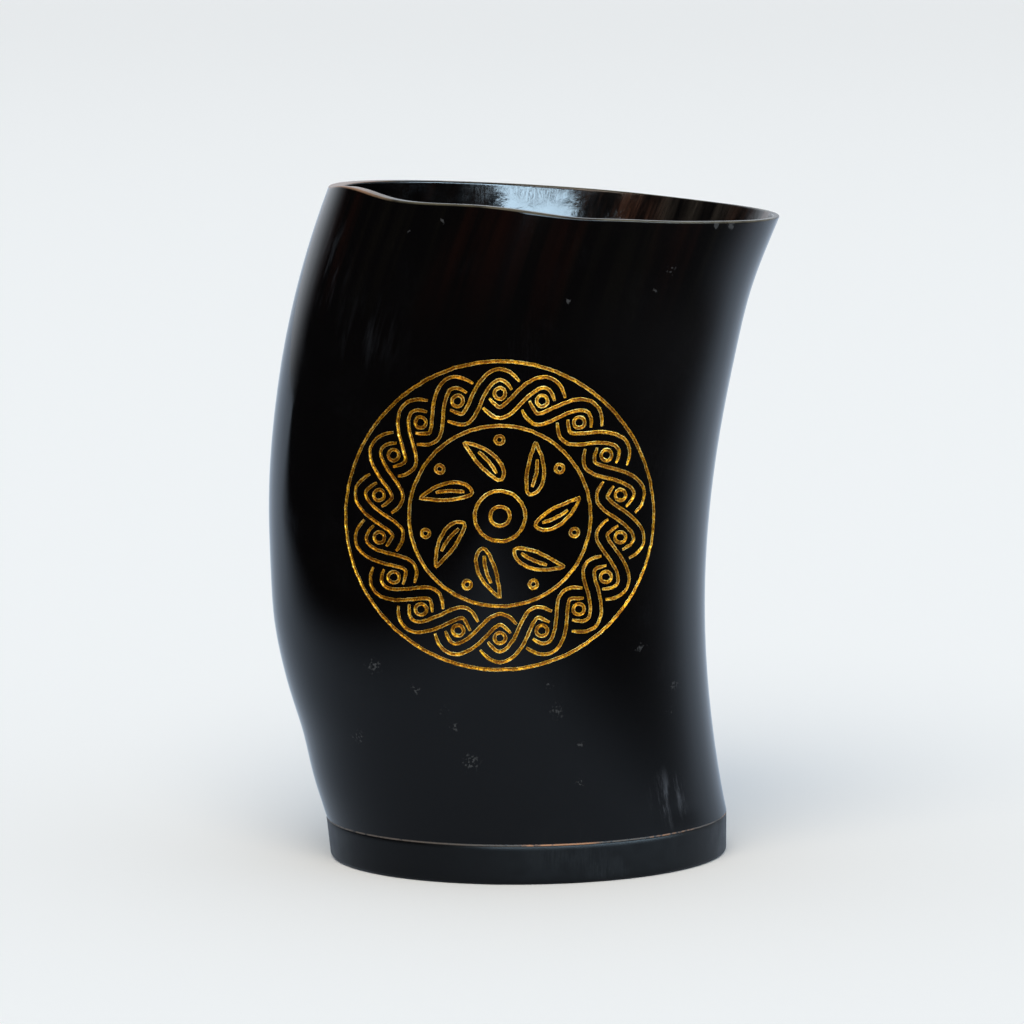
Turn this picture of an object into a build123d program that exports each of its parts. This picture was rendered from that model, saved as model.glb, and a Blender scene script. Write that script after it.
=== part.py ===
"""Horn drinking cup: a bent, tapering length of horn, closed at its lower end by a stepped plug set in resin.

The cup stands on Z = 0 with the centre of its foot at the origin. The horn bends in the XZ plane with its
hollow side towards +X, and its engraved face looks towards -Y.
"""

from build123d import *
import os

# Driving dimensions, in millimetres and degrees

# Oval outlines of the horn: the long axis, the short axis, and the turn of the long axis from +X
foot_length = 73.4
foot_breadth = 65.2
foot_turn = 19.0
belly_length = 79.8
belly_breadth = 74.4
belly_turn = 5.0
mouth_length = 81.2
mouth_breadth = 75.2
mouth_turn = -10.0

# Bent axis of the horn, from the seam to the middle of the rim
mouth_height = 118.3
mouth_lean = 4.4
axis_bow = 9.3
rim_slope = 3.6

# Horn wall, thickest at the foot, where the horn runs towards its solid tip
foot_wall = 7.0
belly_wall = 3.6
mouth_wall = 2.3
bore_shift = 0.7
rim_bevel = 0.6

# Stepped plug that closes the foot
flange_height = 7.0
flange_draft = 0.4
spigot_height = 5.0
socket_wall = 3.4
edge_bevel = 0.6

# Resin that bonds the plug and seals the floor
seam_gap = 0.3
socket_gap = 0.15
bead_height = 2.4
bead_width = 2.6

# Levels and planes that the pieces share
seam_height = flange_height + seam_gap
floor_height = seam_height + spigot_height
bead_top = floor_height + bead_height

with BuildLine(Plane.XZ) as axis:
    SagittaArc((-flange_draft, seam_height), (mouth_lean, mouth_height), axis_bow)

foot_plane = Plane(axis.line @ 0)
flange_plane = foot_plane.offset(-seam_gap)
belly_plane = Plane(axis.line @ 0.5).rotated((0, rim_slope / 2, 0))
mouth_plane = Plane(axis.line @ 1).rotated((0, rim_slope, 0))

horn_sections = (
    (foot_plane, foot_length, foot_breadth, foot_turn, foot_wall),
    (belly_plane, belly_length, belly_breadth, belly_turn, belly_wall),
    (mouth_plane, mouth_length, mouth_breadth, mouth_turn, mouth_wall),
)


# The thin side of the rim limits how far its two edges can be filed back
thin_rim = mouth_wall - bore_shift
rim_chamfer = min(rim_bevel, 0.45 * thin_rim)


def oval(length, breadth, turn, inset=0.0, shift=0.0):
    """A turned oval of four quarter arcs, which keep a loft between unlike ovals from twisting."""
    with BuildLine(Plane.XY) as outline:
        for start in (0, 90, 180, 270):
            EllipticalCenterArc(
                (shift, 0), length / 2 - inset, breadth / 2 - inset, start_angle=start, rotation=turn
            )
    make_face(outline.edges())


def foot_outline(inset=0.0):
    """The horn's outline at the foot, drawn smaller by an inset all round."""
    oval(foot_length, foot_breadth, foot_turn, inset=inset)


# Bore of the horn, set off centre so that the wall is thicker on the bulging side
with BuildPart() as bore:
    for plane, length, breadth, turn, wall in horn_sections:
        with BuildSketch(plane):
            oval(length, breadth, turn, inset=wall, shift=bore_shift)
    loft()

# Horn body, with the bore, the socket for the plug and a bevelled rim
with BuildPart() as horn_body:
    for plane, length, breadth, turn, wall in horn_sections:
        with BuildSketch(plane):
            oval(length, breadth, turn)
    loft()
    add(bore.part, mode=Mode.SUBTRACT)
    with BuildSketch(foot_plane):
        foot_outline(inset=socket_wall)
    extrude(amount=spigot_height, mode=Mode.SUBTRACT)
    rim_face = horn_body.faces().filter_by(GeomType.PLANE).sort_by(Axis.Z)[-1]
    chamfer(rim_face.edges(), length=rim_chamfer)
horn_body.part.label = "horn_body"

# Foot plug: a flange that draws in from the horn's end to its underside, and a spigot for the socket
with BuildPart() as foot_plug:
    with BuildSketch():
        foot_outline(inset=flange_draft)
    with BuildSketch(flange_plane):
        foot_outline()
    loft()
    chamfer(foot_plug.edges().group_by(Axis.Z)[0], length=edge_bevel)
    with BuildSketch(flange_plane):
        foot_outline(inset=socket_wall + socket_gap)
    extrude(amount=seam_gap + spigot_height)
foot_plug.part.label = "foot_plug"

# Seam resin: a flat layer under the horn's end and a thin sleeve around the spigot
with BuildPart() as seam_resin:
    with BuildSketch(flange_plane):
        foot_outline()
    extrude(amount=seam_gap)
    with BuildSketch(foot_plane):
        foot_outline(inset=socket_wall)
    extrude(amount=spigot_height)
    add(foot_plug.part, mode=Mode.SUBTRACT)
seam_resin.part.label = "seam_resin"

# Seal bead: a ring on the floor that fills the corner with the bore and slopes down to the middle
with BuildPart() as seal_bead:
    add(bore.part)
    split(bisect_by=Plane.XY.offset(floor_height), keep=Keep.TOP)
    split(bisect_by=Plane.XY.offset(bead_top), keep=Keep.BOTTOM)
    bead_faces = seal_bead.faces().sort_by(Axis.Z)
    with BuildSketch(Plane(bead_faces[0].center())):
        foot_outline(inset=foot_wall + bead_width)
    with BuildSketch(Plane(bead_faces[-1].center())):
        foot_outline(inset=foot_wall)
    loft(mode=Mode.SUBTRACT)
seal_bead.part.label = "seal_bead"

os.makedirs("parts", exist_ok=True)
for piece in (horn_body, foot_plug, seam_resin, seal_bead):
    export_step(piece.part, f"parts/{piece.part.label}.step")
    print(piece.part.label, round(piece.part.volume), "mm3")
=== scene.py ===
import math
import bmesh
import bpy
from mathutils import Matrix, Vector, noise
from mathutils.bvhtree import BVHTree


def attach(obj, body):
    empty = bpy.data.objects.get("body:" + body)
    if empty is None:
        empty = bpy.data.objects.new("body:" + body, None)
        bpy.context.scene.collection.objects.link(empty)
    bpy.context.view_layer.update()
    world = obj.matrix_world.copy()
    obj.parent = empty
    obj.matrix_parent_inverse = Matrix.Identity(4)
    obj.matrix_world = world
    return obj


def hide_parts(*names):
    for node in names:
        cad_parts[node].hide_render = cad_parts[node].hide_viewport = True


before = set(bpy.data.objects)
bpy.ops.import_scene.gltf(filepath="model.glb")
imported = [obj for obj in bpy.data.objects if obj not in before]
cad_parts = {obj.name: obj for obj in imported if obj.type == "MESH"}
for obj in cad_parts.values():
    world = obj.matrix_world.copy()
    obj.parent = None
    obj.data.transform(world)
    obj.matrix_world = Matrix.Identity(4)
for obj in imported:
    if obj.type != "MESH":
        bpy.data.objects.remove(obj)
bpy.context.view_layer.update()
bpy.ops.object.select_all(action="DESELECT")
bpy.context.scene.view_settings.view_transform = "Standard"
print("frame loaded:", sorted(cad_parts))

mm = 0.001
noise.seed_set(12)  # the same hand-cut wobble in each run

# camera at the photograph's angle: target in millimetres, distance in metres
view = {"target": (-3.1, 0.0, 62.0), "distance": 1.0, "elevation": 7.3, "lens": 195.0, "sensor": 36.0}

# the horn in millimetres and degrees; threes are at foot, belly and mouth
hornForm = {
    "length": (73.4, 79.8, 81.2),
    "breadth": (65.2, 74.4, 75.2),
    "turn": (19.0, 5.0, -10.0),
    "tilt": (0.0, 1.8, 3.6),
    "wall": (7.0, 3.6, 2.3),
    "boreShift": 0.7,
    "footCentre": (-0.4, 7.3),  # x and z
    "mouthCentre": (4.4, 118.3),
    "bow": 9.3,
    "socketWall": 3.4,
    "floorHeight": 12.3,
    "rimBevel": 0.32,
    "bevelSegments": 4,
    "rimSupport": 0.5,  # rings this far under the rim keep its rounding crisp
    "ringVerts": 288,
    "outerRings": 92,
    "innerRings": 62,
    "unevenness": 0.08,  # hand-worked dips and swells of the outside
    "unevenScale": 0.035,
    "swellStart": 3,  # height above the seam over which they set in
    "lipFlare": (0.35, 0.8),  # the bore is sanded wider towards the rim, and more so at the back
    "lipDepth": 14.0,
    "lipHollow": (103, 0.42, 8),  # where it is sanded wider still: angle, how far, spread of the angle
    # swells and dips of the outside: angle, height, how far out, spread of the angle, spread of the height
    "swells": (
        (180, 66, -0.3, 75, 60), (180, 80, -0.12, 60, 12), (180, 42, 0.5, 50, 9),
        (180, 22.5, -0.6, 45, 6.5), (0, 103, -0.55, 60, 10), (0, 42, -0.25, 60, 20),
    ),
    # where the sawn rim stands high or low: angle, how far up, spread of the angle
    "rimWave": (
        (207, 0.95, 11), (196, 0.6, 9), (250, 0.72, 17),
        (276, -0.25, 9), (300, -0.1, 12), (45, -0.25, 25),
    ),
    "waveDepth": 12.0,
    "smoothAngle": 35,
}


# x and z of the bent axis at foot, belly and mouth
def axisPoint(i):
    x0, z0 = hornForm["footCentre"]
    x1, z1 = hornForm["mouthCentre"]
    if i == 0:
        return x0, z0
    if i == 2:
        return x1, z1
    bow = hornForm["bow"] / math.hypot(x1 - x0, z1 - z0)
    return (x0 + x1) / 2 - bow * (z1 - z0), (z0 + z1) / 2 + bow * (x1 - x0)


def sectionFrame(i, inset, shift):
    x, z = axisPoint(i)
    place = Matrix.Translation((x, 0, z))
    tilt = Matrix.Rotation(math.radians(hornForm["tilt"][i]), 4, "Y")
    slide = Matrix.Translation((shift, 0, 0))
    turn = Matrix.Rotation(math.radians(hornForm["turn"][i]), 4, "Z")
    long = hornForm["length"][i] / 2 - inset[i]
    broad = hornForm["breadth"][i] / 2 - inset[i]
    return Matrix.Scale(mm, 4) @ place @ tilt @ slide @ turn @ Matrix.Diagonal((long, broad, 1, 1))


# a ring of the horn at t, 0 at the foot and 1 at the mouth: the three sections blended by a parabola
def hornRing(t, inset=(0, 0, 0), shift=0.0):
    weights = (2 * (t - 0.5) * (t - 1), 4 * t * (1 - t), 2 * t * (t - 0.5))
    total = Matrix.Diagonal((0, 0, 0, 0))
    for i, weight in enumerate(weights):
        total = total + sectionFrame(i, inset, shift) * weight
    return total


def boreRing(t):
    return hornRing(t, hornForm["wall"], hornForm["boreShift"])


def hornReach():
    return hornForm["mouthCentre"][1] - hornForm["footCentre"][1]


# the foot's oval at a height, drawn in by an inset
def footRing(height, inset=0.0, slide=0.0):
    turn = Matrix.Rotation(math.radians(hornForm["turn"][0]), 4, "Z")
    long = hornForm["length"][0] / 2 - inset
    broad = hornForm["breadth"][0] / 2 - inset
    place = Matrix.Translation((hornForm["footCentre"][0] + slide, 0, height))
    return Matrix.Scale(mm, 4) @ place @ turn @ Matrix.Diagonal((long, broad, 1, 1))


# a ring laid level at a height
def flatRing(ring, height):
    flat = ring.copy()
    for column in range(4):
        flat[2][column] = 0
    flat[2][2] = mm
    flat[2][3] = height * mm
    return flat


def selectOnly(piece):
    bpy.ops.object.select_all(action="DESELECT")
    piece.select_set(True)
    bpy.context.view_layer.objects.active = piece


def startEdit(piece):
    selectOnly(piece)
    bpy.ops.object.mode_set(mode="EDIT")
    bpy.ops.mesh.select_mode(type="EDGE")
    bpy.ops.mesh.select_all(action="DESELECT")


def selectOpenEdges():
    bpy.ops.mesh.select_all(action="DESELECT")
    bpy.ops.mesh.select_non_manifold(
        extend=False, use_wire=False, use_boundary=True,
        use_multi_face=False, use_non_contiguous=False, use_verts=False)


def turnFacesOut():
    bpy.ops.mesh.select_all(action="SELECT")
    bpy.ops.mesh.normals_make_consistent(inside=False)
    bpy.ops.object.mode_set(mode="OBJECT")


# a skin drawn from ring to ring by extruding, then closed on itself or capped at both ends
def stackRings(name, rings, ringVerts, closed):
    bpy.ops.object.select_all(action="DESELECT")
    bpy.ops.mesh.primitive_circle_add(vertices=ringVerts, radius=1.0)
    piece = bpy.context.object
    piece.name = name
    startEdit(piece)
    bpy.ops.mesh.select_all(action="SELECT")
    mesh = bmesh.from_edit_mesh(piece.data)
    bmesh.ops.transform(mesh, matrix=rings[0], verts=mesh.verts)
    for before, after in zip(rings, rings[1:]):
        bpy.ops.mesh.extrude_edges_move()
        mesh = bmesh.from_edit_mesh(piece.data)
        newest = [v for v in mesh.verts if v.select]
        bmesh.ops.transform(mesh, matrix=after @ before.inverted(), verts=newest)
    selectOpenEdges()
    if closed:
        bpy.ops.mesh.bridge_edge_loops()
    else:
        bpy.ops.mesh.fill_holes(sides=0)
    turnFacesOut()
    return piece


# rounds the edges of the two rings that lie side by side at the rim
def bevelRims(piece, ring, count):
    startEdit(piece)
    mesh = bmesh.from_edit_mesh(piece.data)
    for edge in mesh.edges:
        rings = {v.index // count for v in edge.verts}
        edge.select_set(rings == {ring} or rings == {ring + 1})
    bmesh.update_edit_mesh(piece.data)
    width = hornForm["rimBevel"] * mm
    bpy.ops.mesh.bevel(offset=width, segments=hornForm["bevelSegments"], affect="EDGES")
    bpy.ops.object.mode_set(mode="OBJECT")


def smoothShade(piece, degrees):
    selectOnly(piece)
    bpy.ops.object.shade_smooth_by_angle(angle=math.radians(degrees))


def hump(distance, spread):
    return math.exp(-(distance / spread) ** 2)


def turnBetween(a, b):
    return (a - b + 180) % 360 - 180


# millimetres down from the plane of the rim
def rimDepth(point):
    tilt = math.radians(hornForm["tilt"][2])
    x, z = hornForm["mouthCentre"]
    return (x - point.x / mm) * math.sin(tilt) + (z - point.z / mm) * math.cos(tilt)


# how far the wave lifts the horn at an angle and a depth under the rim
def rimLift(angle, under):
    lift = sum(up * hump(turnBetween(angle, turn), wide) for turn, up, wide in hornForm["rimWave"])
    return lift * max(0, 1 - max(0, under) / hornForm["waveDepth"]) ** 2


# moves the points of one ring: the outside's swells, the bore's flare and the rim's wave
def workRing(points, ring, outside):
    middle = ring.translation
    for point in points:
        away = Vector((point.co.x - middle.x, point.co.y - middle.y, 0)).normalized()
        angle = math.degrees(math.atan2(away.y, away.x))
        height = point.co.z / mm
        under = rimDepth(point.co)
        push = 0.0
        if outside:
            for turn, level, out, wide, tall in hornForm["swells"]:
                push += out * hump(turnBetween(angle, turn), wide) * hump(height - level, tall)
            push += hornForm["unevenness"] * noise.noise(point.co / mm * hornForm["unevenScale"])
            push *= min(1, (height - hornForm["footCentre"][1]) / hornForm["swellStart"])
        else:
            turn, out, wide = hornForm["lipHollow"]
            flare = hornForm["lipFlare"][0] + hornForm["lipFlare"][1] * max(0, away.y) ** 2
            flare += out * hump(turnBetween(angle, turn), wide)
            push = flare * max(0, 1 - under / hornForm["lipDepth"]) ** 2
        point.co += away * push * mm
        point.co.z += rimLift(angle, under) * mm


# outside from foot to rim, bore from rim to floor, then the socket for the plug
def makeHornBody():
    seam = hornForm["footCentre"][1]
    floor = hornForm["floorHeight"]
    floorT = (floor - seam) / hornReach()
    supportT = 1 - hornForm["rimSupport"] / hornReach()
    outer = [hornRing(i / hornForm["outerRings"]) for i in range(hornForm["outerRings"])]
    outer += [hornRing(supportT), hornRing(1)]
    inner = [boreRing(1), boreRing(supportT)]
    for i in range(1, hornForm["innerRings"] + 1):
        share = i / hornForm["innerRings"]
        inner.append(boreRing(1 - share * (1 - floorT)))
    inner[-1] = flatRing(inner[-1], floor)
    socket = [footRing(height, hornForm["socketWall"]) for height in (floor, seam)]
    count = hornForm["ringVerts"]
    horn = stackRings("horn_shell", outer + inner + socket, count, closed=True)
    horn.data.materials.append(bpy.data.materials.new("polishedHorn"))
    horn.data.materials.append(bpy.data.materials.new("boreHorn"))
    for i, ring in enumerate(outer + inner):
        workRing(horn.data.vertices[i * count:(i + 1) * count], ring, i < len(outer))
    boreStart = len(outer) * count
    for face in horn.data.polygons:
        face.material_index = int(min(face.vertices) >= boreStart)
    bevelRims(horn, len(outer) - 1, count)
    return horn


horn = makeHornBody()
print("horn shell:", len(horn.data.vertices), "points")

# round knotwork medallion on the front, in millimetres from its own centre
medallion = {
    "centre": (-5.2, -37.0, 66.0),
    "standOff": 200.0,  # how far in front the viewing lines start
    "lineWidth": 0.62,
    "lineDepth": 0.27,
    "lineTaper": (0.72, 0.11, 2.5),  # thickness at a line's end, gain for each point, points that gain
    "lineVariety": (0.12, 1900),  # how far the thickness varies, and how often in a metre
    "pointGap": 0.34,
    "wobble": 0.08,  # the cutter's drift to either side
    "wobbleScale": 0.9,
    "nibble": 0.06,  # and its small jumps
    "nibbleScale": 2.4,
    "fewestSides": 14,  # of a small circle
    "outerRing": 27.0,
    "braidRadius": 21.4,
    "braidSwing": 3.3,
    "braidWaves": 9,
    "braidStretch": 1.25,  # a strand's length against its circle's
    "ribbonHalf": 0.95,
    "crossingGap": 0.75,
    "crossingSearch": (0.006, 14),  # step in radians, and steps to either side
    "fewestPoints": 4,  # shorter runs of a strand are left out
    "eyeRing": 0.95,
    "innerRing": 15.8,
    "leaves": 7,
    "leafFoot": 6.2,
    "leafTip": 14.3,
    "leafHalf": 1.75,
    "leafSweep": 26.0,
    "leafSteps": 26,
    "leafBelly": 0.8,  # under 1, a leaf is widest nearer to its foot
    "leafFullness": 0.9,
    "leafRib": (0.16, 0.56),  # start and length as shares of the leaf
    "berryRadius": 13.3,
    "berryRing": 0.7,
    "hubRing": 4.4,
    "hubEye": 1.7,
    "coat": 0.04,
    "sides": 3,  # curve bevel resolution of the cutter
    "smoothAngle": 50,
}


def polar(radius, angle):
    return radius * math.cos(angle), radius * math.sin(angle)


def circlePath(radius, centre=(0.0, 0.0)):
    count = max(medallion["fewestSides"], round(2 * math.pi * radius / medallion["pointGap"]))
    around = [polar(radius, 2 * math.pi * i / count) for i in range(count)]
    return [(centre[0] + u, centre[1] + v) for u, v in around], True


def braidPoint(angle, side, offset):
    waves = medallion["braidWaves"]
    radius = medallion["braidRadius"] + side * medallion["braidSwing"] * math.sin(waves * angle)
    slope = side * medallion["braidSwing"] * waves * math.cos(waves * angle)
    out = Vector((math.cos(angle), math.sin(angle)))
    along = (out * slope + Vector((-out.y, out.x)) * radius).normalized()
    return out * radius + Vector((-along.y, along.x)) * offset


# one edge of a braided ribbon, left out where the other ribbon passes over it
def braidEdge(side, offset):
    strand = 2 * math.pi * medallion["braidRadius"] * medallion["braidStretch"]
    count = round(strand / medallion["pointGap"])
    reach = medallion["ribbonHalf"] + medallion["crossingGap"]
    step, steps = medallion["crossingSearch"]
    turns = [step * k for k in range(-steps, steps + 1)]
    runs = [[]]
    for i in range(count + 1):
        angle = 2 * math.pi * (i + 0.5) / count
        point = braidPoint(angle, side, offset)
        crossing = round(angle * medallion["braidWaves"] / math.pi)
        under = (crossing % 2 == 0) == (side > 0)
        nearest = min((point - braidPoint(angle + turn, -side, 0)).length for turn in turns)
        if under and nearest < reach:
            if runs[-1]:
                runs.append([])
        else:
            runs[-1].append(tuple(point))
    runs = [run for run in runs if len(run) >= medallion["fewestPoints"]]
    if len(runs) > 1 and (Vector(runs[0][0]) - Vector(runs[-1][-1])).length < 2 * medallion["pointGap"]:
        runs[0] = runs.pop() + runs[0]
    return [(run, False) for run in runs]


def leafPoint(turn, share, across):
    radius = medallion["leafFoot"] + (medallion["leafTip"] - medallion["leafFoot"]) * share
    angle = turn + math.radians(medallion["leafSweep"]) * share
    bulge = math.sin(math.pi * share ** medallion["leafBelly"]) ** medallion["leafFullness"]
    swell = medallion["leafHalf"] * bulge * across / radius
    return polar(radius, angle + swell)


def leafPaths(turn):
    steps = medallion["leafSteps"]
    ribStart, ribLength = medallion["leafRib"]
    up = [leafPoint(turn, (i + 0.5) / steps, 1) for i in range(steps)]
    down = [leafPoint(turn, 1 - (i + 0.5) / steps, -1) for i in range(steps)]
    rib = [leafPoint(turn, ribStart + ribLength * i / steps, 0) for i in range(steps)]
    return [(up + down, True), (rib, False)]


def medallionPaths():
    paths = [circlePath(medallion[name]) for name in ("outerRing", "innerRing", "hubRing", "hubEye")]
    for side in (1, -1):
        for edge in (1, -1):
            paths += braidEdge(side, edge * medallion["ribbonHalf"])
    for i in range(2 * medallion["braidWaves"]):
        eye = polar(medallion["braidRadius"], (i + 0.5) * math.pi / medallion["braidWaves"])
        paths.append(circlePath(medallion["eyeRing"], eye))
    for i in range(medallion["leaves"]):
        turn = 2 * math.pi * i / medallion["leaves"] + math.pi / 2
        paths += leafPaths(turn)
        half = turn + math.pi / medallion["leaves"] + math.radians(medallion["leafSweep"])
        berry = polar(medallion["berryRadius"], half)
        paths.append(circlePath(medallion["berryRing"], berry))
    return paths


# lays a path on the horn along the viewing line, with the cutter's wobble
def layPath(path, tree, sight):
    laid = []
    for u, v in path:
        jump = noise.noise_vector(Vector((u, v, 3.0)) * medallion["wobbleScale"]) * medallion["wobble"]
        jump += noise.noise_vector(Vector((u, v, 8.0)) * medallion["nibbleScale"]) * medallion["nibble"]
        start = (Vector(medallion["centre"]) + Vector((u + jump.x, 0, v + jump.y))) * mm
        hit, normal = tree.ray_cast(start - sight * (medallion["standOff"] * mm), sight)[:2]
        laid.append((hit, normal))
    return laid


# round cutters along all lines of the medallion
def makeCutters(tree):
    half = medallion["lineWidth"] / 2
    depth = medallion["lineDepth"]
    radius = (half * half + depth * depth) / (2 * depth)
    endWidth, gain, gainPoints = medallion["lineTaper"]
    vary, perMetre = medallion["lineVariety"]
    lines = bpy.data.curves.new("engravingLines", "CURVE")
    lines.dimensions = "3D"
    lines.bevel_depth = radius * mm
    lines.bevel_resolution = medallion["sides"]
    rise = math.radians(view["elevation"])
    sight = Vector((0, math.cos(rise), -math.sin(rise)))
    for path, cyclic in medallionPaths():
        laid = layPath(path, tree, sight)
        spline = lines.splines.new("POLY")
        spline.points.add(len(laid) - 1)
        spline.use_cyclic_u = cyclic
        for i, (point, (hit, normal)) in enumerate(zip(spline.points, laid)):
            point.co = (*(hit + normal * (radius - depth) * mm), 1)
            toEnd = len(laid) if cyclic else min(i, len(laid) - 1 - i)
            point.radius = endWidth + gain * min(toEnd, gainPoints) + vary * noise.noise(hit * perMetre)
    cutter = bpy.data.objects.new("engraving_cutter", lines)
    bpy.context.scene.collection.objects.link(cutter)
    selectOnly(cutter)
    bpy.ops.object.convert(target="MESH")
    cutter = bpy.context.object
    startEdit(cutter)
    selectOpenEdges()
    bpy.ops.mesh.fill_holes(sides=0)  # caps the ends of the tubes
    turnFacesOut()
    return cutter


# cuts the lines into the horn; the walls of the grooves keep the cutter's material
def engraveHorn():
    tree = BVHTree.FromObject(horn, bpy.context.evaluated_depsgraph_get())
    cutter = makeCutters(tree)
    cutter.data.materials.append(bpy.data.materials.new("goldPaint"))
    selectOnly(horn)
    cut = horn.modifiers.new("engraving", "BOOLEAN")
    cut.operation = "DIFFERENCE"
    cut.object = cutter
    cut.solver = "MANIFOLD"
    cut.material_mode = "TRANSFER"
    bpy.ops.object.modifier_apply(modifier="engraving")
    bpy.data.objects.remove(cutter)
    print("engraved horn:", len(horn.data.polygons), "faces")
    return tree


def storeValues(piece, name, values):
    layer = piece.data.attributes.new(name, "FLOAT", "POINT")
    layer.data.foreach_set("value", values)


# each point's depth under the wavy rim, for the materials
def storeRimDepth():
    x = hornForm["mouthCentre"][0]
    depths = []
    for vertex in horn.data.vertices:
        angle = math.degrees(math.atan2(vertex.co.y, vertex.co.x - x * mm))
        under = rimDepth(vertex.co)
        depths.append(under + rimLift(angle, under))
    storeValues(horn, "underRim", depths)


# each point's depth in its groove, 0 at the edges and 1 at the bottom
def storeGrooveDepth(coat, tree):
    deepest = (medallion["lineDepth"] - medallion["coat"]) * mm
    storeValues(coat, "grooveDepth", [tree.find_nearest(v.co)[3] / deepest for v in coat.data.vertices])


# a thin coat of gold on the walls of the grooves
def makeGilding():
    selectOnly(horn)
    bpy.ops.object.duplicate()
    coat = bpy.context.object
    coat.name = "gilding"
    goldIndex = horn.data.materials.find("goldPaint")
    startEdit(coat)
    bpy.ops.mesh.select_mode(type="FACE")
    mesh = bmesh.from_edit_mesh(coat.data)
    for face in mesh.faces:
        face.select_set(face.material_index != goldIndex)
    bmesh.update_edit_mesh(coat.data)
    bpy.ops.mesh.delete(type="FACE")
    bpy.ops.object.mode_set(mode="OBJECT")
    thicken = coat.modifiers.new("coat", "SOLIDIFY")
    thicken.thickness = medallion["coat"] * mm
    thicken.offset = 1.0
    bpy.ops.object.modifier_apply(modifier="coat")
    for face in horn.data.polygons:
        if face.material_index == goldIndex:
            face.material_index = 0
    paint = horn.data.materials.pop(index=goldIndex)
    coat.data.materials.clear()
    coat.data.materials.append(paint)
    print("gilding:", len(coat.data.polygons), "faces")
    return coat


plainHorn = engraveHorn()
gilding = makeGilding()
storeRimDepth()
storeGrooveDepth(gilding, plainHorn)
smoothShade(horn, hornForm["smoothAngle"])
smoothShade(gilding, medallion["smoothAngle"])
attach(horn, "root")
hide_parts("horn_body")
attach(gilding, "root")

# plug, resin and bead at the foot, in millimetres
footForm = {
    "flangeHeight": 7.0,
    "flangeDraft": 0.4,
    "edgeRound": 0.7,
    "roundSteps": 5,
    "topRound": 0.12,
    "sideRings": 8,
    "underRings": (26, 16, 8, 2),  # insets of the rings on the underside
    "floorRings": (8, 16, 26),  # and on the floor of the cup
    "socketGap": 0.15,
    "resinInset": 0.06,
    "beadTop": 14.7,
    "beadWidth": 2.6,
    "beadRings": (3, 8),  # steps up the bore and down the slope
    "beadDrop": 0.97,  # share of its height that the slope falls
    "beadHollow": 1.6,
    "beadOverlap": 0.3,  # its upper edge is this much wider than the bore at the foot
    "ringVerts": 224,
    "smoothAngle": 40,
}


# the flange leans and swells a little from its underside to the horn's end
def flangeRing(height, inset=0.0):
    share = 1 - height / footForm["flangeHeight"]
    draft = footForm["flangeDraft"] * share
    return footRing(height, inset + draft, draft)


def makeFootPlug():
    radius = footForm["edgeRound"]
    flange = footForm["flangeHeight"]
    top = footForm["topRound"]
    steps = footForm["roundSteps"]
    sides = footForm["sideRings"]
    floor = hornForm["floorHeight"]
    spigot = hornForm["socketWall"] + footForm["socketGap"]
    rings = [flangeRing(0, inset) for inset in footForm["underRings"]]
    for i in range(steps + 1):
        turn = math.radians(90 * i / steps)
        rings.append(flangeRing(radius * (1 - math.cos(turn)), radius * (1 - math.sin(turn))))
    rings += [flangeRing(radius + (flange - top - radius) * i / sides) for i in range(1, sides + 1)]
    rings += [flangeRing(flange - top / 2, top / 3), flangeRing(flange, top)]
    rings += [footRing(flange, spigot), footRing(floor, spigot)]
    rings += [footRing(floor, inset) for inset in footForm["floorRings"]]
    plug = stackRings("foot_plate", rings, footForm["ringVerts"], closed=False)
    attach(plug, "root")
    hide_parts("foot_plug")
    return plug


# a flat layer under the horn's end and a sleeve around the spigot
def makeSeamResin():
    low = footForm["flangeHeight"]
    high = hornForm["footCentre"][1]
    floor = hornForm["floorHeight"]
    inset = footForm["resinInset"]
    socket = hornForm["socketWall"]
    spigot = socket + footForm["socketGap"]
    outline = ((low, inset), (high, inset), (high, socket), (floor, socket), (floor, spigot), (low, spigot))
    rings = [footRing(height, wall) for height, wall in outline]
    resin = stackRings("seam_line", rings, footForm["ringVerts"], closed=True)
    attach(resin, "root")
    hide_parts("seam_resin")
    return resin


# the bead hugs the bore and slopes down to the floor in a hollow curve
def makeSealBead():
    floor = hornForm["floorHeight"]
    top = footForm["beadTop"]
    foot = hornForm["footCentre"][1]
    wall = hornForm["wall"][0]
    wallSteps, slopeSteps = footForm["beadRings"]
    rings = []
    for i in range(wallSteps + 1):
        height = floor + (top - floor) * i / wallSteps
        rings.append(flatRing(boreRing((height - foot) / hornReach()), height))
    middle = rings[-1].translation.x / mm - hornForm["footCentre"][0]
    for i in range(slopeSteps + 1):
        share = i / slopeSteps
        drop = (top - floor) * (1 - (1 - share) ** 2) * footForm["beadDrop"]
        inset = wall + footForm["beadWidth"] * share ** footForm["beadHollow"]
        inset -= footForm["beadOverlap"] * (1 - share)
        rings.append(footRing(top - drop, inset, middle))
    rings.append(footRing(floor, wall + footForm["beadWidth"], middle))
    bead = stackRings("floor_bead", rings, footForm["ringVerts"], closed=True)
    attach(bead, "root")
    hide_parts("seal_bead")
    return bead


footPlug = makeFootPlug()
seamResin = makeSeamResin()
sealBead = makeSealBead()
for piece in (footPlug, seamResin, sealBead):
    smoothShade(piece, footForm["smoothAngle"])
print("foot pieces made")


# a node with its settings, its inputs set or linked
def put(tree, kind, inputs=None, **settings):
    node = tree.nodes.new("ShaderNode" + kind)
    for name, value in settings.items():
        setattr(node, name, value)
    for name, value in (inputs or {}).items():
        if isinstance(value, bpy.types.NodeSocket):
            tree.links.new(value, node.inputs[name])
        else:
            node.inputs[name].default_value = value
    return node


def calc(tree, operation, a, b=0.0, c=0.0):
    return put(tree, "Math", {0: a, 1: b, 2: c}, operation=operation).outputs[0]


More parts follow.
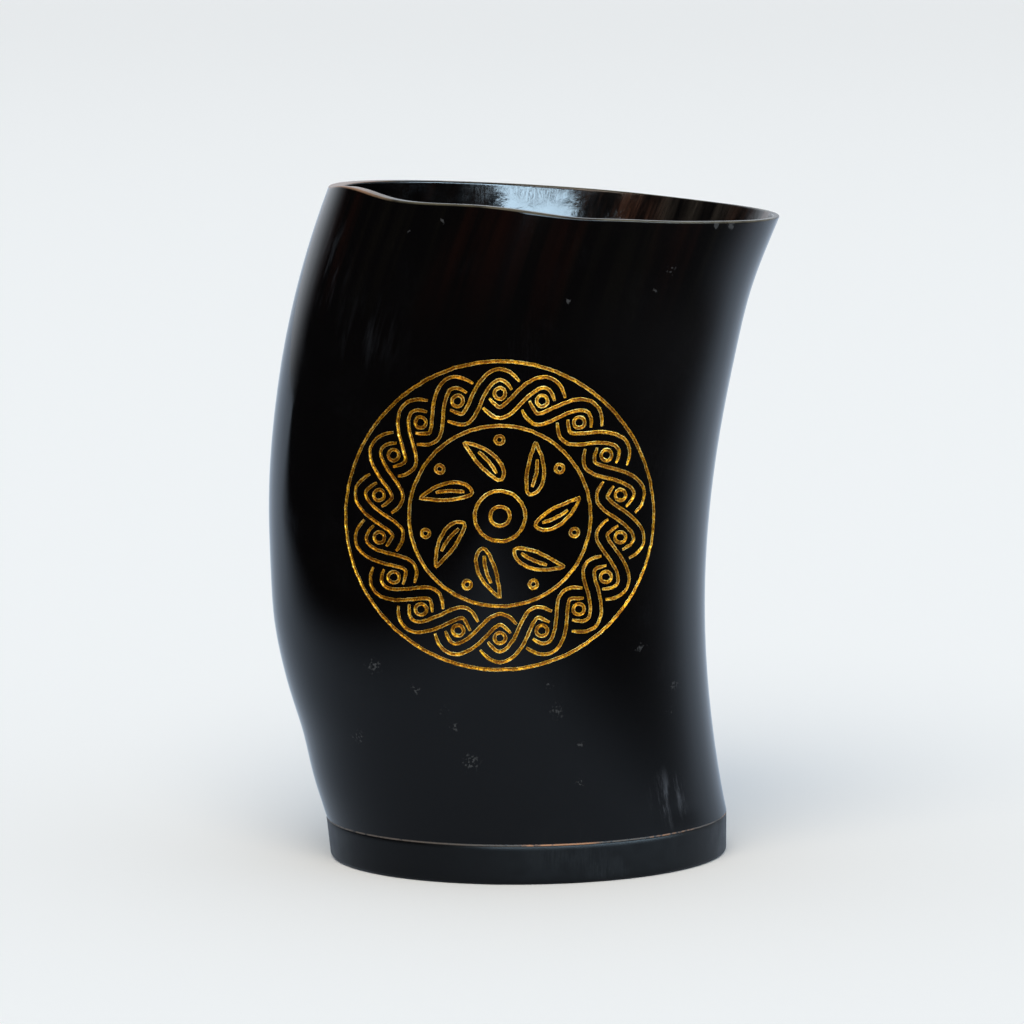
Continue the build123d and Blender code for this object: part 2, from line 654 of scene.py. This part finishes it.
def times(tree, a, b):
    return calc(tree, "MULTIPLY", a, b)


def larger(tree, a, b):
    return calc(tree, "MAXIMUM", a, b)


def scaled(tree, value, factor, base):
    return calc(tree, "MULTIPLY_ADD", value, factor, base)


# 0 at low and 1 at high, eased between
def ease(tree, value, low, high):
    inputs = {"Value": value, "From Min": low, "From Max": high}
    return put(tree, "MapRange", inputs, interpolation_type="SMOOTHSTEP").outputs["Result"]


def blend(tree, factor, first, second):
    return put(tree, "Mix", {"Factor": factor, 6: first, 7: second}, data_type="RGBA").outputs[2]


def grain(tree, vector, scale, detail, roughness=0.5):
    inputs = {"Vector": vector, "Scale": scale, "Detail": detail, "Roughness": roughness}
    return put(tree, "TexNoise", inputs).outputs[0]


# a grain drawn out along some axes
def longGrain(tree, vector, stretch, form):
    return grain(tree, put(tree, "Mapping", {"Vector": vector, "Scale": stretch}).outputs[0], *form)


def axes(tree, vector):
    return put(tree, "SeparateXYZ", {0: vector}).outputs


def apart(tree, first, second):
    return put(tree, "VectorMath", {0: first, 1: second}, operation="DISTANCE").outputs["Value"]


# 0 from the radius outwards and 1 in the core, a share of the radius
def nearness(tree, distance, radius, core):
    return ease(tree, calc(tree, "DIVIDE", distance, radius), 1.0, core)


# a group whose sockets are floats or vectors, as their first values are
def makeGroup(name, inputs, outputs):
    group = bpy.data.node_groups.new(name, "ShaderNodeTree")
    for way, sockets in (("INPUT", inputs), ("OUTPUT", outputs)):
        for label, value in sockets.items():
            kind = "NodeSocketFloat" if isinstance(value, float) else "NodeSocketVector"
            group.interface.new_socket(label, in_out=way, socket_type=kind).default_value = value
    start = group.nodes.new("NodeGroupInput")
    end = group.nodes.new("NodeGroupOutput")
    return group, start.outputs, end.inputs


def placeGroup(tree, group, inputs=None):
    return put(tree, "Group", inputs, node_tree=group).outputs


origin = (0, 0, 0)

# marks and streaks that the materials share; grains are noise scale, detail and roughness
marks = {
    "scratchWays": (((0.4, 0.9, 0.3), 22.0), ((-0.7, 0.35, 1.1), 30.0)),  # turn, and how far drawn out
    "scratchGrain": (1.6, 3.0, 0.7),
    "scratchEdge": (0.0, 0.12),
    "patchGrain": (0.09, 2.0),
    "patchEdge": (0.5, 0.72),
    "spotCore": 0.1,
    "spotGrain": (1.9, 3.0),
    "spotGain": 0.16,  # how much thicker the crumbs lie in the middle
    "spotEdge": (0.66, 0.78),
    "scuffBend": {"Scale": 0.5, "Detail": 3.0},
    "scuffShift": 4.0,
    "scuffCore": 0.3,
    "scuffGrain": (1.5, 3.0, 0.6),
    "scuffGain": 0.2,
    "scuffEdge": (0.71, 0.79),
    "paleStreakCore": 0.15,
    "paleStreakStretch": (0.7, 0.7, 0.09),
    "paleStreakGrain": (1.0, 5.0, 0.65),
    "paleStreakEdge": (0.48, 0.72),
    "streakStretch": (0.3, 0.3, 0.011),
    "streakGrain": (1.0, 6.0, 0.62),
    "streakEdge": (0.4, 0.68),
    "streakTop": 2.0,  # depth under the rim from which the streaks fade
    "bandStretch": (0.055, 0.055, 0.008),
    "bandGrain": (1.0, 2.0),
}


# places in millimetres: as they are, and with the horn unbent along its axis
def makeHornPlaces():
    group, _, result = makeGroup("hornPlaces", {}, {"Unbent": origin, "Place": origin})
    x0, z0 = axisPoint(0)
    x1 = axisPoint(1)[0]
    x2, z2 = axisPoint(2)
    metres = put(group, "TexCoord").outputs["Object"]
    place = put(group, "VectorMath", {0: metres, "Scale": 1 / mm}, operation="SCALE").outputs[0]
    xyz = axes(group, place)
    along = calc(group, "DIVIDE", calc(group, "SUBTRACT", xyz[2], z0), z2 - z0)
    # the axis as a parabola through its three points
    curve = scaled(group, along, 2 * x0 - 4 * x1 + 2 * x2, 4 * x1 - 3 * x0 - x2)
    sideways = calc(group, "SUBTRACT", xyz[0], scaled(group, curve, along, x0))
    unbent = put(group, "CombineXYZ", {0: sideways, 1: xyz[1], 2: xyz[2]}).outputs[0]
    group.links.new(unbent, result["Unbent"])
    group.links.new(place, result["Place"])
    return group


# fine straight scratches in two directions
def makeScratches():
    group, given, result = makeGroup("fineScratches", {"Vector": origin, "Width": 0.1}, {"Mask": 0.0})
    masks = []
    for turn, stretch in marks["scratchWays"]:
        inputs = {"Vector": given["Vector"], "Rotation": turn, "Scale": (1.0, 1.0, 1 / stretch)}
        turned = put(group, "Mapping", inputs).outputs[0]
        lines = grain(group, turned, *marks["scratchGrain"])
        gap = calc(group, "ABSOLUTE", calc(group, "SUBTRACT", lines, 0.5))
        beside = ease(group, calc(group, "DIVIDE", gap, given["Width"]), *marks["scratchEdge"])
        line = calc(group, "SUBTRACT", 1.0, beside)
        patch = grain(group, given["Vector"], *marks["patchGrain"])
        masks.append(times(group, line, ease(group, patch, *marks["patchEdge"])))
    group.links.new(larger(group, masks[0], masks[1]), result["Mask"])
    return group


# a scuff on the front, a loose cluster of crumbs
def makeScuffSpot():
    inputs = {"Vector": origin, "Centre": origin, "Radius": 2.0}
    group, given, result = makeGroup("scuffSpot", inputs, {"Mask": 0.0})
    xyz = axes(group, given["Vector"])
    flat = put(group, "CombineXYZ", {0: xyz[0], 2: xyz[2]}).outputs[0]
    near = nearness(group, apart(group, flat, given["Centre"]), given["Radius"], marks["spotCore"])
    grit = grain(group, given["Vector"], *marks["spotGrain"])
    thick = scaled(group, near, marks["spotGain"], grit)
    crumbs = ease(group, thick, *marks["spotEdge"])
    front = calc(group, "LESS_THAN", xyz[1], 0.0)
    group.links.new(times(group, times(group, crumbs, near), front), result["Mask"])
    return group


# scattered scuffs, each a small cluster of crumbs
def makeScuffs():
    inputs = {"Vector": origin, "Spacing": 9.0, "Size": 0.2, "Rarity": 0.6}
    group, given, result = makeGroup("scuffMarks", inputs, {"Mask": 0.0})
    ragged = put(group, "TexNoise", {"Vector": given["Vector"], **marks["scuffBend"]}).outputs["Color"]
    far = marks["scuffShift"]
    shift = put(group, "VectorMath", {0: ragged, "Scale": far}, operation="SCALE").outputs[0]
    moved = put(group, "VectorMath", {0: given["Vector"], 1: shift}, operation="ADD").outputs[0]
    often = calc(group, "DIVIDE", 1.0, given["Spacing"])
    cells = put(group, "TexVoronoi", {"Vector": moved, "Scale": often}).outputs
    spot = nearness(group, cells["Distance"], given["Size"], marks["scuffCore"])
    pick = put(group, "SeparateColor", {0: cells["Color"]}).outputs[0]
    chosen = times(group, spot, calc(group, "GREATER_THAN", pick, given["Rarity"]))
    grit = grain(group, given["Vector"], *marks["scuffGrain"])
    thick = scaled(group, chosen, marks["scuffGain"], grit)
    crumbs = ease(group, thick, *marks["scuffEdge"])
    group.links.new(times(group, crumbs, chosen), result["Mask"])
    return group


# a pale streaky patch that runs down along the horn around one place
def makePaleStreak():
    inputs = {"Vector": origin, "Unbent": origin, "Centre": origin, "Radius": 6.0}
    group, given, result = makeGroup("paleStreak", inputs, {"Mask": 0.0})
    distance = apart(group, given["Vector"], given["Centre"])
    near = nearness(group, distance, given["Radius"], marks["paleStreakCore"])
    hairs = longGrain(group, given["Unbent"], marks["paleStreakStretch"], marks["paleStreakGrain"])
    group.links.new(times(group, near, ease(group, hairs, *marks["paleStreakEdge"])), result["Mask"])
    return group


hornPlaces = makeHornPlaces()
fineScratches = makeScratches()
scuffMarks = makeScuffs()
paleStreak = makePaleStreak()
scuffSpot = makeScuffSpot()


def shaderOf(material):
    material.use_nodes = True
    return material.node_tree, material.node_tree.nodes["Principled BSDF"]


def newShader(name, piece):
    material = bpy.data.materials.new(name)
    piece.data.materials.append(material)
    return shaderOf(material)


def stored(tree, name):
    return put(tree, "Attribute", attribute_name=name).outputs["Fac"]


# links a colour and a roughness, and a relief of the look's strength and depth in millimetres
def giveSurface(tree, shader, look, colour, rough, height):
    strength, depth = look["relief"]
    bump = put(tree, "Bump", {"Height": height, "Strength": strength, "Distance": depth * mm})
    tree.links.new(colour, shader.inputs["Base Color"])
    tree.links.new(rough, shader.inputs["Roughness"])
    tree.links.new(bump.outputs[0], shader.inputs["Normal"])
    shader.inputs["Specular IOR Level"].default_value = look["specular"]


# long streaks in the horn, brown or olive, strongest at the rim
def hornStreaks(tree, places, fadeDepth):
    streaks = longGrain(tree, places["Unbent"], marks["streakStretch"], marks["streakGrain"])
    bands = longGrain(tree, places["Unbent"], marks["bandStretch"], marks["bandGrain"])
    nearRim = ease(tree, stored(tree, "underRim"), fadeDepth, marks["streakTop"])
    shown = ease(tree, streaks, *marks["streakEdge"])
    return streaks, bands, times(tree, shown, nearRim)


# outside of the horn; in all looks, roughness is how far it varies and its least
hornLook = {
    "black": (0.0016, 0.0014, 0.0015, 1),
    "redBrown": (0.0055, 0.0023, 0.0018, 1),
    "olive": (0.0034, 0.003, 0.0023, 1),
    "bandEdge": (0.45, 0.58),
    "rimTan": (0.24, 0.14, 0.085, 1),
    "rimOlive": (0.1, 0.09, 0.06, 1),
    "tanReach": (-22.0, -30.0),  # x where the rim turns from olive to tan
    "lip": (0.42, 0.12),  # how far down the rim's own colour reaches
    "lipGrain": (0.12, 5.0),
    "lipEdge": (0.3, 0.62),
    "scuff": (0.13, 0.135, 0.14, 1),
    "scuffShare": 0.6,
    "haze": (0.05, 0.056, 0.066, 1),
    "fadeDepth": 26.0,  # how far down from the rim the brown shows
    "scratchWidth": 0.16,
    "scratchHaze": 0.04,
    # pale streaky patches: centre, radius, strength
    "paleStreaks": (
        ((26.0, -21.5, 13.5), 7.0, 1.0),
        ((-26.0, -26.0, 97.0), 12.0, 0.12),
        ((-36.0, -16.0, 108.0), 10.0, 0.4),
    ),
    # scuffs scattered over the back, which set in over these places in y
    "backScuffs": {"Spacing": 9.0, "Size": 0.26, "Rarity": 0.5},
    "backEdge": (-8.0, 8.0),
    "backStrength": 0.6,
    # scuffs on the front: x, z and radius
    "spots": (
        (-27.4, 38.7, 2.4), (-19.9, 35.0, 1.4), (-14.6, 31.2, 1.8), (-13.3, 28.4, 1.5), (-30.3, 25.2, 2.0),
        (-10.4, 22.2, 3.0), (4.9, 31.2, 2.4), (3.5, 35.8, 1.2), (9.0, 25.2, 1.5), (8.8, 18.1, 1.3),
        (19.6, 41.1, 1.7), (25.8, 33.3, 1.6), (24.8, 28.9, 1.4), (24.6, 108.4, 1.6), (6.6, 103.6, 1.2),
        (21.7, 104.8, 1.0), (-15.0, 117.1, 1.0), (-21.0, 115.1, 0.8)),
    "spotStrength": 0.5,
    # chips under the rim: centre and radius
    "chips": (((32.5, -27.7, 115.8), 0.9), ((35.3, -25.0, 115.6), 1.1), ((42.3, -14.6, 115.2), 0.8)),
    "chipGrain": (1.3, 3.0),
    "chipJag": 1.6,
    "chipEdge": (1.6, 1.3),
    "chipStrength": 0.55,
    "cloudGrain": (0.07, 4.0),
    "roughness": (0.05, 0.05),
    "wornRoughness": 0.25,
    "lipRoughness": 0.15,
    "scratchHeight": -0.35,
    "streakHeight": 0.5,
    "relief": (0.25, 0.02),
    "specular": 0.19,
}


# scuffs on the back and the front, and the chips under the rim
def hornWear(tree, place):
    scuff = placeGroup(tree, scuffMarks, {"Vector": place, **hornLook["backScuffs"]})["Mask"]
    backSide = ease(tree, axes(tree, place)[1], *hornLook["backEdge"])
    worn = times(tree, scuff, times(tree, backSide, hornLook["backStrength"]))
    for x, z, radius in hornLook["spots"]:
        one = placeGroup(tree, scuffSpot, {"Vector": place, "Centre": (x, 0.0, z), "Radius": radius})
        worn = larger(tree, worn, times(tree, one["Mask"], hornLook["spotStrength"]))
    broken = grain(tree, place, *hornLook["chipGrain"])
    for centre, radius in hornLook["chips"]:
        distance = calc(tree, "DIVIDE", apart(tree, place, centre), radius)
        jagged = scaled(tree, broken, hornLook["chipJag"], distance)
        chip = ease(tree, jagged, *hornLook["chipEdge"])
        worn = larger(tree, worn, times(tree, chip, hornLook["chipStrength"]))
    return worn


# the pale colour of scratches and streaky patches
def hornHaze(tree, places, scratch):
    haze = times(tree, scratch, hornLook["scratchHaze"])
    for centre, radius, strength in hornLook["paleStreaks"]:
        one = placeGroup(tree, paleStreak, {
            "Vector": places["Place"], "Unbent": places["Unbent"], "Centre": centre, "Radius": radius})
        haze = larger(tree, haze, times(tree, one["Mask"], strength))
    return haze


# lays the sawn rim's own colour over the horn's
def tintLip(tree, place, lip, colour):
    leftEnd = ease(tree, axes(tree, place)[0], *hornLook["tanReach"])
    lipColour = blend(tree, leftEnd, hornLook["rimOlive"], hornLook["rimTan"])
    flecks = ease(tree, grain(tree, place, *hornLook["lipGrain"]), *hornLook["lipEdge"])
    shown = larger(tree, flecks, leftEnd)
    return blend(tree, times(tree, lip, shown), colour, lipColour)


def finishHorn():
    tree, shader = shaderOf(bpy.data.materials["polishedHorn"])
    places = placeGroup(tree, hornPlaces)
    place = places["Place"]
    streaks, bands, brown = hornStreaks(tree, places, hornLook["fadeDepth"])
    tint = blend(tree, ease(tree, bands, *hornLook["bandEdge"]), hornLook["redBrown"], hornLook["olive"])
    colour = blend(tree, brown, hornLook["black"], tint)
    scratch = placeGroup(tree, fineScratches, {"Vector": place, "Width": hornLook["scratchWidth"]})["Mask"]
    worn = hornWear(tree, place)
    haze = hornHaze(tree, places, scratch)
    colour = blend(tree, haze, colour, hornLook["haze"])
    colour = blend(tree, times(tree, worn, hornLook["scuffShare"]), colour, hornLook["scuff"])
    lip = ease(tree, stored(tree, "underRim"), *hornLook["lip"])
    colour = tintLip(tree, place, lip, colour)
    cloudy = grain(tree, places["Unbent"], *hornLook["cloudGrain"])
    rough = scaled(tree, cloudy, *hornLook["roughness"])
    rough = scaled(tree, larger(tree, haze, worn), hornLook["wornRoughness"], rough)
    rough = scaled(tree, lip, hornLook["lipRoughness"], rough)
    height = times(tree, streaks, hornLook["streakHeight"])
    height = scaled(tree, scratch, hornLook["scratchHeight"], height)
    giveSurface(tree, shader, hornLook, colour, rough, height)


boreLook = {
    "black": (0.0022, 0.0019, 0.002, 1),
    "redBrown": (0.06, 0.027, 0.017, 1),
    "olive": (0.025, 0.021, 0.017, 1),
    "bandEdge": (0.4, 0.6),
    "fadeDepth": 60.0,
    "brownSide": (2.0, 20.0),  # x where the brown sets in
    "brownShare": (0.88, 0.12),  # gain on that side, and share all round
    "cloudGrain": (0.3, 4.0),
    "scratchWidth": 0.3,
    "roughness": (0.2, 0.03),
    "scratchRoughness": 0.15,
    "scratchHeight": -0.15,
    "streakHeight": 0.12,
    "relief": (0.4, 0.2),
    "specular": 0.6,
}


# the inside is browner at the rim and polished less evenly
def finishBore():
    tree, shader = shaderOf(bpy.data.materials["boreHorn"])
    places = placeGroup(tree, hornPlaces)
    place = places["Place"]
    streaks, bands, brown = hornStreaks(tree, places, boreLook["fadeDepth"])
    tint = blend(tree, ease(tree, bands, *boreLook["bandEdge"]), boreLook["olive"], boreLook["redBrown"])
    side = ease(tree, axes(tree, place)[0], *boreLook["brownSide"])
    brown = times(tree, brown, scaled(tree, side, *boreLook["brownShare"]))
    colour = blend(tree, brown, boreLook["black"], tint)
    cloudy = grain(tree, place, *boreLook["cloudGrain"])
    scratch = placeGroup(tree, fineScratches, {"Vector": place, "Width": boreLook["scratchWidth"]})["Mask"]
    rough = scaled(tree, cloudy, *boreLook["roughness"])
    rough = scaled(tree, scratch, boreLook["scratchRoughness"], rough)
    height = scaled(tree, scratch, boreLook["scratchHeight"], cloudy)
    height = scaled(tree, streaks, boreLook["streakHeight"], height)
    giveSurface(tree, shader, boreLook, colour, rough, height)


plugLook = {
    "black": (0.0018, 0.0018, 0.0021, 1),
    "worn": (0.018, 0.018, 0.02, 1),
    "wornShare": 0.2,
    "scratchWidth": 0.3,
    "scuffs": {"Spacing": 5.0, "Size": 0.25, "Rarity": 0.7},
    "mottleGrain": (0.35, 5.0),
    "roughness": (0.22, 0.24),
    "wornRoughness": 0.08,
    "wornHeight": -0.25,
    "relief": (0.3, 0.04),
    "specular": 0.17,
}


def finishPlug():
    tree, shader = newShader("satinPlug", footPlug)
    place = placeGroup(tree, hornPlaces)["Place"]
    scratch = placeGroup(tree, fineScratches, {"Vector": place, "Width": plugLook["scratchWidth"]})["Mask"]
    scuff = placeGroup(tree, scuffMarks, {"Vector": place, **plugLook["scuffs"]})["Mask"]
    mottled = grain(tree, place, *plugLook["mottleGrain"])
    worn = larger(tree, scratch, scuff)
    wornShare = times(tree, worn, plugLook["wornShare"])
    colour = blend(tree, wornShare, plugLook["black"], plugLook["worn"])
    rough = scaled(tree, mottled, *plugLook["roughness"])
    rough = scaled(tree, worn, plugLook["wornRoughness"], rough)
    height = scaled(tree, worn, plugLook["wornHeight"], mottled)
    giveSurface(tree, shader, plugLook, colour, rough, height)


# cured resin of the seam, copper-bright in places
seamLook = {
    "copper": (0.42, 0.19, 0.075, 1),
    "copperPlace": (5.5, -32.0, 7.2),
    "copperReach": (8.0, 5.0),
    "copperStretch": (0.05, 0.05, 0.0),
    "copperGrain": (1.0, 1.0),
    "copperEdge": (0.56, 0.68),
    "grey": (0.085, 0.066, 0.05, 1),
    "dark": (0.01, 0.0085, 0.008, 1),
    "crumbGrain": (0.8, 4.0),
    "crumbEdge": (0.52, 0.66),
    "roughness": (0.3, 0.3),
    "relief": (0.5, 0.1),
    "specular": 0.5,
}


def finishSeam():
    tree, shader = newShader("seamResin", seamResin)
    place = placeGroup(tree, hornPlaces)["Place"]
    around = longGrain(tree, place, seamLook["copperStretch"], seamLook["copperGrain"])
    crumbs = grain(tree, place, *seamLook["crumbGrain"])
    near = ease(tree, apart(tree, place, seamLook["copperPlace"]), *seamLook["copperReach"])
    bright = larger(tree, near, ease(tree, around, *seamLook["copperEdge"]))
    colour = blend(tree, bright, seamLook["grey"], seamLook["copper"])
    colour = blend(tree, ease(tree, crumbs, *seamLook["crumbEdge"]), colour, seamLook["dark"])
    rough = scaled(tree, crumbs, *seamLook["roughness"])
    giveSurface(tree, shader, seamLook, colour, rough, crumbs)


beadLook = {
    "dark": (0.01, 0.0085, 0.008, 1),
    "amber": (0.09, 0.042, 0.016, 1),
    "cloudGrain": (0.12, 4.0),
    "cloudEdge": (0.35, 0.65),
    "roughness": (0.15, 0.08),
    "relief": (0.4, 0.4),
    "specular": 0.5,
}


def finishBead():
    tree, shader = newShader("floorResin", sealBead)
    place = placeGroup(tree, hornPlaces)["Place"]
    cloudy = grain(tree, place, *beadLook["cloudGrain"])
    colour = blend(tree, ease(tree, cloudy, *beadLook["cloudEdge"]), beadLook["dark"], beadLook["amber"])
    rough = scaled(tree, cloudy, *beadLook["roughness"])
    giveSurface(tree, shader, beadLook, colour, rough, cloudy)


goldLook = {
    "deep": (0.14, 0.04, 0.001, 1),
    "bright": (0.78, 0.37, 0.01, 1),
    "brightEdge": (0.38, 0.61),
    # painted glints: near-white gold where the tone runs highest
    "paintedGlint": (1.0, 0.84, 0.3, 1),
    "paintedGlintEdge": (0.59, 0.69),
    "fleckGrain": (3.2, 3.0),
    "fleckShare": 0.65,
    "poolGrain": (0.6, 2.0),
    "poolShare": 0.35,
    "paintedGrooveShade": (-0.22, 0.12),  # painted shade darker to the bottom of a groove, painted light brighter at its edges
    "roughness": (-0.3, 0.55),
    "relief": (0.6, 0.06),
    "metallic": 0.75,
    "specular": 0.25,
}


def finishGilding():
    tree, shader = shaderOf(bpy.data.materials["goldPaint"])
    place = placeGroup(tree, hornPlaces)["Place"]
    flecks = grain(tree, place, *goldLook["fleckGrain"])
    pools = grain(tree, place, *goldLook["poolGrain"])
    # the gold's tone: its flecks and pools, with painted shade deep in each groove and painted light at its
    # edges
    toneAndGrooveShade = scaled(tree, stored(tree, "grooveDepth"), *goldLook["paintedGrooveShade"])
    toneAndGrooveShade = scaled(tree, pools, goldLook["poolShare"], toneAndGrooveShade)
    toneAndGrooveShade = scaled(tree, flecks, goldLook["fleckShare"], toneAndGrooveShade)
    colour = blend(tree, ease(tree, toneAndGrooveShade, *goldLook["brightEdge"]), goldLook["deep"], goldLook["bright"])
    # painted glints laid into the gold's colour
    colour = blend(tree, ease(tree, toneAndGrooveShade, *goldLook["paintedGlintEdge"]), colour, goldLook["paintedGlint"])
    rough = scaled(tree, flecks, *goldLook["roughness"])
    giveSurface(tree, shader, goldLook, colour, rough, flecks)
    shader.inputs["Metallic"].default_value = goldLook["metallic"]


finishHorn()
finishBore()
finishPlug()
finishSeam()
finishBead()
finishGilding()
print("materials made")


def addCamera():
    rise = math.radians(view["elevation"])
    target = Vector(view["target"]) * mm
    offset = Vector((0, -math.cos(rise), math.sin(rise))) * view["distance"]
    bpy.ops.object.camera_add(location=target + offset, rotation=(math.pi / 2 - rise, 0, 0))
    camera = bpy.context.object
    camera.data.lens = view["lens"]
    camera.data.sensor_width = view["sensor"]
    bpy.context.scene.camera = camera


# floor, surroundings and lights, in metres
studio = {
    "floorSize": 40.0,
    "floorColour": (0.88, 0.908, 0.922, 1),
    # painted shade: the floor far behind is darker, as where less light reaches
    "shadedFarFloor": (0.815, 0.836, 0.846, 1),
    "farShadeReach": (0.2, 4.0),
    "floorRoughness": 0.9,
    "floorSpecular": 0.05,
    "mirrorFloor": (0.6, 0.71, 0.86, 1),  # the floor as the horn's gloss shows it
    "tableReach": 0.3,  # how far the pale table comes out in front
    "tableSlant": 1.4,
    "leftReach": 0.05,  # behind the cup it is wider to the left
    "leftSlant": 0.85,
    "tableBlur": 0.12,
    "darkRoom": (0.006, 0.0065, 0.008, 1),
    "skyLight": (0.55, 0.62, 0.7, 1),
    "backdrop": (0.78, 0.84, 0.92, 1),
    "backdropReach": (0.58, 0.9),
    "sideWall": (0.5, 0.53, 0.58, 1),  # grey wall and floor to the right, in reflections only
    "sideFloor": (0.15, 0.6),
    "wallReach": (0.5, 0.8),
    "wallTop": (0.45, 0.2),
    "aim": (0, 0, 0.06),
    "sunAngle": 46.0,
    "sunStrength": 1.85,
    "sunColour": (1.0, 0.86, 0.7),
    "sunPlace": (-0.14, -0.87, 1.1),
    "windowPlace": (1.1, -1.5, 0.58),
    "windowSize": (4.6, 0.5),
    "windowPower": 128.0,
    "windowColour": (0.6, 0.82, 1.0),
}


# above 0 on the table, whose edge runs back at a slant to either side
def onTable(tree, place, left, right, reach):
    leftEdge = times(tree, place[0], -left)
    rightEdge = times(tree, place[0], right)
    slant = larger(tree, leftEdge, rightEdge)
    return calc(tree, "ADD", calc(tree, "SUBTRACT", place[1], slant), reach)


# a wide pale floor; in reflections the table ends in front and the dark room begins
def addFloor():
    bpy.ops.mesh.primitive_plane_add(size=studio["floorSize"])
    floor = bpy.context.object
    floor.name = "floor"
    tree, shader = newShader("paleTable", floor)
    shader.inputs["Roughness"].default_value = studio["floorRoughness"]
    shader.inputs["Specular IOR Level"].default_value = studio["floorSpecular"]
    place = axes(tree, put(tree, "TexCoord").outputs["Object"])
    glossy = put(tree, "LightPath").outputs["Is Glossy Ray"]
    # painted shade: the floor darkens far behind the cup
    far = ease(tree, place[1], *studio["farShadeReach"])
    pale = blend(tree, far, studio["floorColour"], studio["shadedFarFloor"])
    colour = blend(tree, glossy, pale, studio["mirrorFloor"])
    tree.links.new(colour, shader.inputs["Base Color"])
    slant = studio["tableSlant"]
    front = onTable(tree, place, slant, slant, studio["tableReach"])
    behindLeft = onTable(tree, place, studio["leftSlant"], slant, studio["leftReach"])
    inside = larger(tree, front, behindLeft)
    beyond = ease(tree, inside, studio["tableBlur"], -studio["tableBlur"])
    right = ease(tree, place[0], *studio["sideFloor"])
    roomColour = blend(tree, right, studio["darkRoom"], studio["sideWall"])
    room = put(tree, "Emission", {"Color": roomColour, "Strength": 1.0}).outputs[0]
    mirrored = times(tree, beyond, glossy)
    both = put(tree, "MixShader", {0: mirrored, 1: shader.outputs[0], 2: room})
    tree.links.new(both.outputs[0], tree.nodes["Material Output"].inputs["Surface"])


# even light from all round; in reflections a pale backdrop, a grey wall to the right and a dark room
def addWorld():
    world = bpy.data.worlds.new("studio")
    bpy.context.scene.world = world
    world.use_nodes = True
    tree = world.node_tree
    way = axes(tree, put(tree, "TexCoord").outputs["Generated"])
    behind = ease(tree, way[1], *studio["backdropReach"])
    right = ease(tree, way[0], *studio["wallReach"])
    wall = times(tree, right, ease(tree, way[2], *studio["wallTop"]))
    room = blend(tree, wall, studio["darkRoom"], studio["sideWall"])
    mirrored = blend(tree, behind, room, studio["backdrop"])
    rays = put(tree, "LightPath").outputs
    colour = blend(tree, rays["Is Glossy Ray"], studio["skyLight"], mirrored)
    colour = blend(tree, rays["Is Camera Ray"], colour, studio["floorColour"])
    tree.links.new(colour, tree.nodes["Background"].inputs["Color"])


def addLamp(kind, place):
    turn = (Vector(studio["aim"]) - Vector(place)).to_track_quat("-Z", "Y").to_euler()
    bpy.ops.object.light_add(type=kind, location=place, rotation=turn)
    return bpy.context.object


def addSun():
    lamp = addLamp("SUN", studio["sunPlace"])
    lamp.data.angle = math.radians(studio["sunAngle"])
    lamp.data.energy = studio["sunStrength"]
    lamp.data.color = studio["sunColour"]


# a wide window far in front, which only shows as a reflection
def addWindow():
    lamp = addLamp("AREA", studio["windowPlace"])
    lamp.data.shape = "RECTANGLE"
    lamp.data.size, lamp.data.size_y = studio["windowSize"]
    lamp.data.energy = studio["windowPower"]
    lamp.data.color = studio["windowColour"]
    lamp.visible_camera = False
    lamp.visible_diffuse = False


addCamera()
addFloor()
addWorld()
addSun()
addWindow()
print("studio made")
